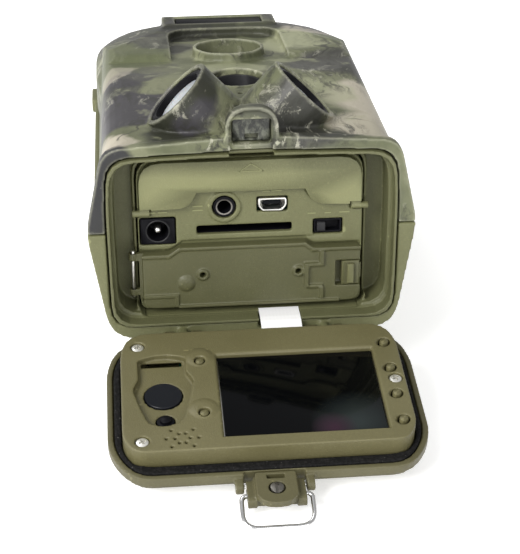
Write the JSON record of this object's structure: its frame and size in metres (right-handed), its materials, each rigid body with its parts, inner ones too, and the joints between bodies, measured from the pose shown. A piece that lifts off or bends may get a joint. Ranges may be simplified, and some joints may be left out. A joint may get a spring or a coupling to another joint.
{
  "type": "trail camera",
  "caption": "Wildlife trail camera on its back with its bottom door open: ports, battery covers, display door, wire bail latch, angled sensor horns and strap bracket.",
  "frame": {"origin": "middle of the strap bracket's flat resting face, the lowest face of the object", "axes": "+Z out of the lens face, away from the strap bracket; +Y from the door end towards the top end; +X to the right seen from the door"},
  "size_m": [0.087, 0.2107, 0.0855],
  "materials": {
    "camouflage_shell": "matte moulded plastic with a printed bark and leaf camouflage film",
    "olive_plastic": "satin moulded plastic with a fine spark-eroded grain",
    "black_plastic": "satin black moulded plastic",
    "seal_rubber": "dull rough foam rubber",
    "bright_steel": "bright plated steel",
    "chromed_wire": "polished wire",
    "dark_window": "glossy near-black window",
    "sensor_film": "thin milky lens film with fine grooves",
    "circuit_board": "green solder mask",
    "white_ribbon": "smooth white flat cable"
  },
  "bodies": {
    "housing": {"front_shell": "camouflage_shell", "back_shell": "olive_plastic", "strap_bracket": "olive_plastic", "liner": "olive_plastic", "chassis": "olive_plastic", "housing_screw_1": "bright_steel", "housing_screw_2": "bright_steel", "housing_screw_3": "bright_steel", "housing_screw_4": "bright_steel", "upper_contact_plate": "bright_steel", "lower_contact_plate": "bright_steel", "usb_socket": "bright_steel", "pir_sensor": "bright_steel", "dc_jack": "black_plastic", "av_jack": "black_plastic", "sd_socket": "black_plastic", "switch_housing": "black_plastic", "catch_plate": "black_plastic", "lens_barrel": "black_plastic", "pir_sleeve": "black_plastic", "left_pir_cup": "black_plastic", "right_pir_cup": "black_plastic", "main_board": "circuit_board", "image_sensor_board": "circuit_board", "ir_led_board": "circuit_board", "lens_glass": "dark_window", "ir_led_window": "dark_window", "pir_window": "sensor_film", "left_pir_film": "sensor_film", "right_pir_film": "sensor_film"},
    "door": {"door_shell": "olive_plastic", "door_gasket": "seal_rubber", "door_panel": "olive_plastic", "lcd_glass": "dark_window", "lcd_module": "bright_steel", "door_board": "circuit_board", "speaker": "black_plastic", "sensor_eye": "dark_window", "microphone": "black_plastic", "door_screw_1": "bright_steel", "door_screw_2": "bright_steel", "door_screw_3": "bright_steel", "hinge_pin_left": "bright_steel", "hinge_pin_right": "bright_steel", "latch_pin": "bright_steel", "ribbon_cable": "white_ribbon"},
    "latch_lever": {"latch_lever": "olive_plastic", "lever_screw": "bright_steel"},
    "wire_bail": {"wire_bail": "chromed_wire"},
    "upper_cover": {"upper_battery_cover": "olive_plastic"},
    "lower_cover": {"lower_battery_cover": "olive_plastic", "lower_cover_pin": "bright_steel"},
    "cover_latch": {"cover_latch": "olive_plastic"},
    "mode_switch": {"mode_switch_knob": "bright_steel"},
    "nav_button_1": {"nav_button_1": "olive_plastic"},
    "nav_button_2": {"nav_button_2": "olive_plastic"},
    "nav_button_3": {"nav_button_3": "olive_plastic"},
    "nav_button_4": {"nav_button_4": "olive_plastic"},
    "side_button_1": {"side_button_1": "olive_plastic"},
    "side_button_2": {"side_button_2": "olive_plastic"}
  },
  "joints": [
    {"name": "door_hinge", "type": "hinge", "parent": "housing", "child": "door", "pos_m": [0, -0.0614, 0.0159], "axis": [1, 0, 0], "range_deg": [-100, 0], "deforming": ["ribbon_cable"]},
    {"name": "lever_pivot", "type": "hinge", "parent": "door", "child": "latch_lever", "pos_m": [0, -0.11727, 0.00453], "axis": [1, 0, 0], "range_deg": [0, 90]},
    {"name": "bail_pivot", "type": "hinge", "parent": "latch_lever", "child": "wire_bail", "pos_m": [0, -0.12092, 0.00449], "axis": [1, 0, 0], "range_deg": [-70, 60]},
    {"name": "upper_cover_hinge", "type": "hinge", "parent": "housing", "child": "upper_cover", "pos_m": [0, -0.0521, 0.0491], "axis": [1, 0, 0], "range_deg": [0, 95]},
    {"name": "lower_cover_hinge", "type": "hinge", "parent": "housing", "child": "lower_cover", "pos_m": [-0.032, -0.052, 0.0315], "axis": [0, 0, -1], "range_deg": [0, 95]},
    {"name": "cover_latch_slide", "type": "slide", "parent": "lower_cover", "child": "cover_latch", "axis": [-1, 0, 0], "range_m": [0, 0.0014], "stiffness_N_per_m": 300, "springref_m": -0.002},
    {"name": "mode_switch_slide", "type": "slide", "parent": "housing", "child": "mode_switch", "axis": [1, 0, 0], "range_m": [0, 0.0035]},
    {"name": "nav_button_1_press", "type": "slide", "parent": "door", "child": "nav_button_1", "axis": [0, 0.1736, -0.9848], "range_m": [0, 0.0006], "stiffness_N_per_m": 400, "springref_m": -0.0005},
    {"name": "nav_button_2_press", "type": "slide", "parent": "door", "child": "nav_button_2", "axis": [0, 0.1736, -0.9848], "range_m": [0, 0.0006], "stiffness_N_per_m": 400, "springref_m": -0.0005},
    {"name": "nav_button_3_press", "type": "slide", "parent": "door", "child": "nav_button_3", "axis": [0, 0.1736, -0.9848], "range_m": [0, 0.0006], "stiffness_N_per_m": 400, "springref_m": -0.0005},
    {"name": "nav_button_4_press", "type": "slide", "parent": "door", "child": "nav_button_4", "axis": [0, 0.1736, -0.9848], "range_m": [0, 0.0006], "stiffness_N_per_m": 400, "springref_m": -0.0005},
    {"name": "side_button_1_press", "type": "slide", "parent": "door", "child": "side_button_1", "axis": [0, 0.1736, -0.9848], "range_m": [0, 0.0006], "stiffness_N_per_m": 400, "springref_m": -0.0005},
    {"name": "side_button_2_press", "type": "slide", "parent": "door", "child": "side_button_2", "axis": [0, 0.1736, -0.9848], "range_m": [0, 0.0006], "stiffness_N_per_m": 400, "springref_m": -0.0005}
  ]
}
